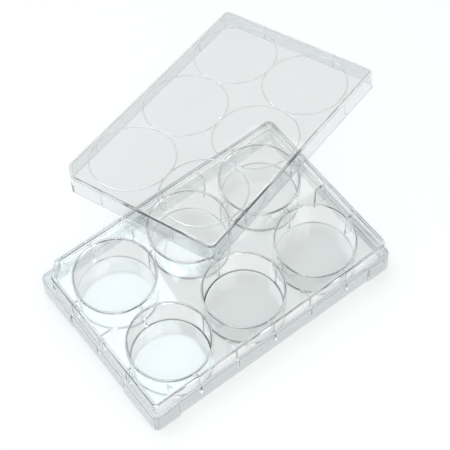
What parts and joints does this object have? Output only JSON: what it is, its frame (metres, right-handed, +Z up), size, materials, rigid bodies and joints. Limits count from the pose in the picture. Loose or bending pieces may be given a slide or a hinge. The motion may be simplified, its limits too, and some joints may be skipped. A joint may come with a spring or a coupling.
{
  "type": "well plate",
  "caption": "Clear polystyrene cell culture plate with round flat-bottomed wells and a shallow clear lid that leans askew, with its far corner on the bench and two sides on the plate.",
  "frame": {"origin": "middle of the plate's footprint, on the bench it stands on", "axes": "+X along the plate's long side, +Y along its short side from row A to row B, +Z up"},
  "size_m": [0.1783, 0.1518, 0.0372],
  "materials": {
    "clear_polystyrene": "clear injection-moulded polystyrene, polished mould faces, colourless"
  },
  "bodies": {
    "root": {"plate": "clear_polystyrene", "lid": "clear_polystyrene"}
  },
  "joints": []
}
